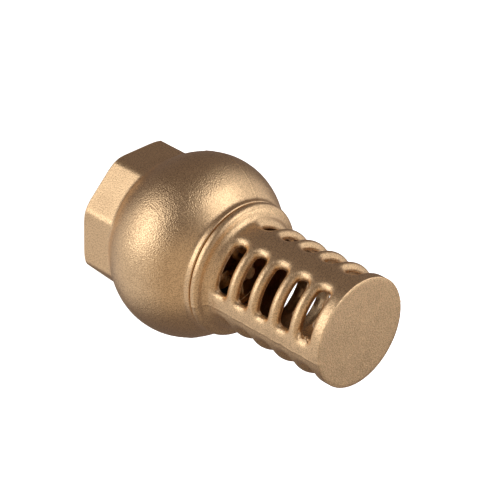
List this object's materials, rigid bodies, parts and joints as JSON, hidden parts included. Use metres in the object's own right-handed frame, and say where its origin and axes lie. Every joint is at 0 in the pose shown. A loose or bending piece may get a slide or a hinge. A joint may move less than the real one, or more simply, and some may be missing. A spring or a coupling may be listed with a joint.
{
  "type": "foot valve",
  "caption": "Brass foot valve for the end of a suction line: octagonal threaded outlet, round bulb with a spring-loaded poppet inside, and a slotted strainer with a flat closed end.",
  "frame": {"origin": "centre of the flat octagonal outlet face, where the suction pipe screws in", "axes": "+Z along the valve's axis, from the outlet to the strainer's closed end; an outlet flat faces -Y. In use the valve hangs with +Z down."},
  "size_m": [0.0524, 0.0524, 0.0851],
  "materials": {
    "forged_brass": "shot-blasted forging, satin, fine grain",
    "machined_brass": "turned, semi-bright",
    "nitrile": "matt moulded nitrile rubber",
    "spring_steel": "drawn stainless wire"
  },
  "bodies": {
    "housing": {"valve_body": "forged_brass", "strainer": "forged_brass", "o_ring": "nitrile", "seat_ring": "machined_brass", "upper_guide": "machined_brass", "return_spring": "spring_steel"},
    "poppet": {"poppet_stem": "machined_brass", "poppet_disc": "machined_brass", "poppet_gasket": "nitrile", "gasket_washer": "machined_brass", "stem_nut": "machined_brass"}
  },
  "joints": [
    {"name": "poppet_lift", "type": "slide", "parent": "housing", "child": "poppet", "axis": [0, 0, -1], "range_m": [0, 0.006], "stiffness_N_per_m": 150, "springref_m": -0.005, "deforming": ["return_spring"]}
  ]
}
